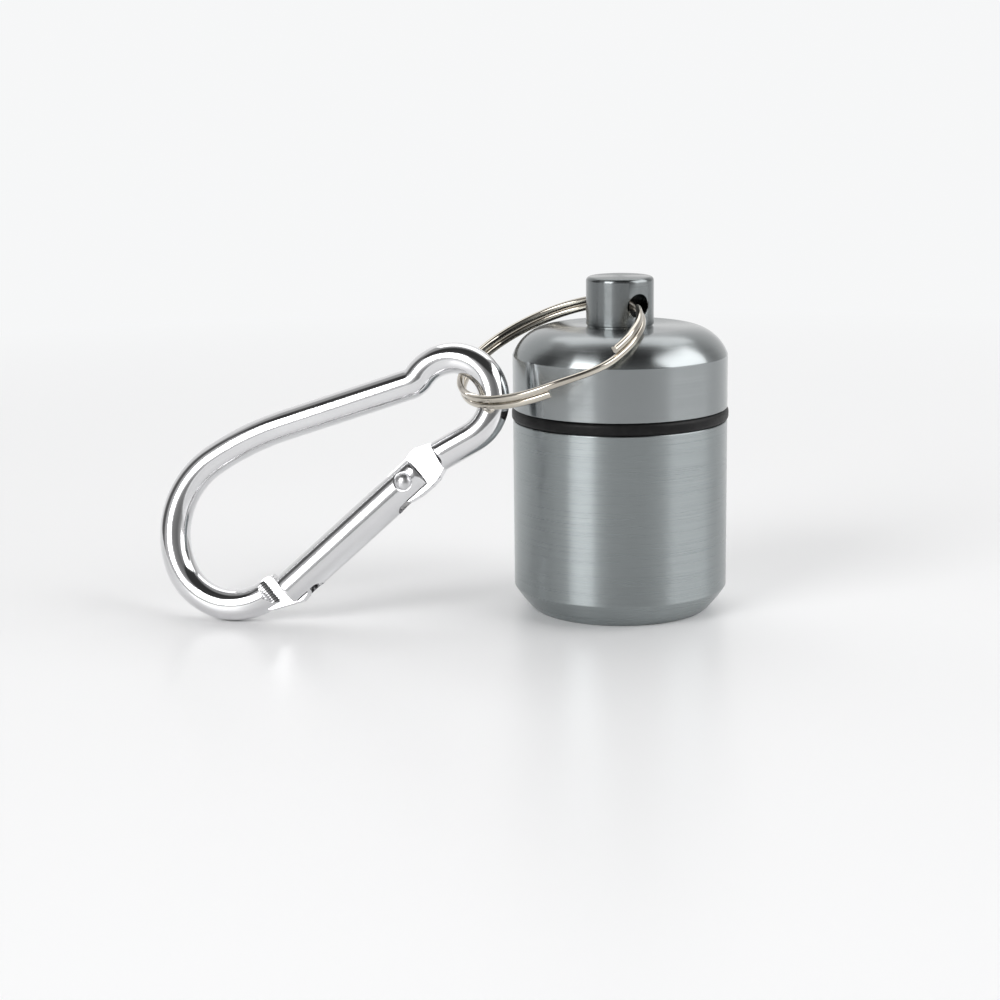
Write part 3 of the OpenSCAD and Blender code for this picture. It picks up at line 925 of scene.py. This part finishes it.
# Degrees round the room from the photographer's side, positive towards +X, and the brightness
walls = levels(tree, stretch(tree, turn.outputs["Value"], -math.pi, math.pi, 0, 1), -180, 180, [
    (-180, 0.92), (-128, 0.75), (-104, 0.10), (-88, 0.10), (-74, 0.50), (-24, 0.60), (-12, 0.24),
    (22, 0.17), (40, 0.30), (58, 0.75), (105, 0.75), (120, 0.42), (150, 0.75), (180, 0.92),
])
# The ceiling starts 45 degrees up. It is dark on the photographer's side and grey on the far side.
overhead = levels(tree, split.outputs["Z"], 0, 1, [(0.0, 0), (0.68, 0), (0.75, 1), (1.0, 1)])
ceiling = levels(tree, stretch(tree, split.outputs["Y"], -1, 1, 0, 1), -1, 1, [
    (-1, 0.04), (-0.02, 0.04), (0.2, 0.36), (1, 0.5),
])
room = add(tree, "ShaderNodeMix", data_type="RGBA")
join(tree, overhead, room.inputs["Factor"])
join(tree, walls, room.inputs["A"])
join(tree, ceiling, room.inputs["B"])
rays = add(tree, "ShaderNodeLightPath")
white = add(tree, "ShaderNodeMix", data_type="RGBA")
white.inputs["B"].default_value = plain_white
join(tree, rays.outputs["Is Camera Ray"], white.inputs["Factor"])
join(tree, room.outputs["Result"], white.inputs["A"])
join(tree, white.outputs["Result"], back.inputs["Color"])
print("room ready")

# %% [markdown]
# ## The lamps
# Three soft lamps: one at the front left, a wide one on the right and one high behind. They are
# large, so that each one draws a broad bright band on the metal with a soft edge. Azimuth runs
# round from the photographer's side and height runs up from the table, both in degrees.

# %% Lamps
aim = Vector((-0.015, 0, 0.02))


def soft_lamp(name, azimuth, height, distance, size, power):
    lamp_data = bpy.data.lights.new(name, "AREA")
    lamp_data.shape = "RECTANGLE"
    lamp_data.size, lamp_data.size_y = size
    lamp_data.energy = power
    lamp = bpy.data.objects.new(name, lamp_data)
    scene.collection.objects.link(lamp)
    a, h = math.radians(azimuth), math.radians(height)
    way = Vector((math.sin(a) * math.cos(h), -math.cos(a) * math.cos(h), math.sin(h)))
    turned = way.to_track_quat("Z", "Y").to_matrix().to_4x4()
    lamp.matrix_world = Matrix.Translation(aim + way * distance) @ turned


soft_lamp("key", azimuth=-44, height=27, distance=0.8, size=(0.38, 0.50), power=3.15)
soft_lamp("fill", azimuth=78, height=34, distance=0.9, size=(0.85, 0.7), power=4.5)
soft_lamp("rear", azimuth=170, height=58, distance=0.9, size=(0.9, 0.5), power=1.9)
print("lamps:", len(bpy.data.lights))

# %% [markdown]
# ## The view transform
# The picture is shown with Blender's Standard view transform.

# %% Finish
scene.view_settings.view_transform = "Standard"
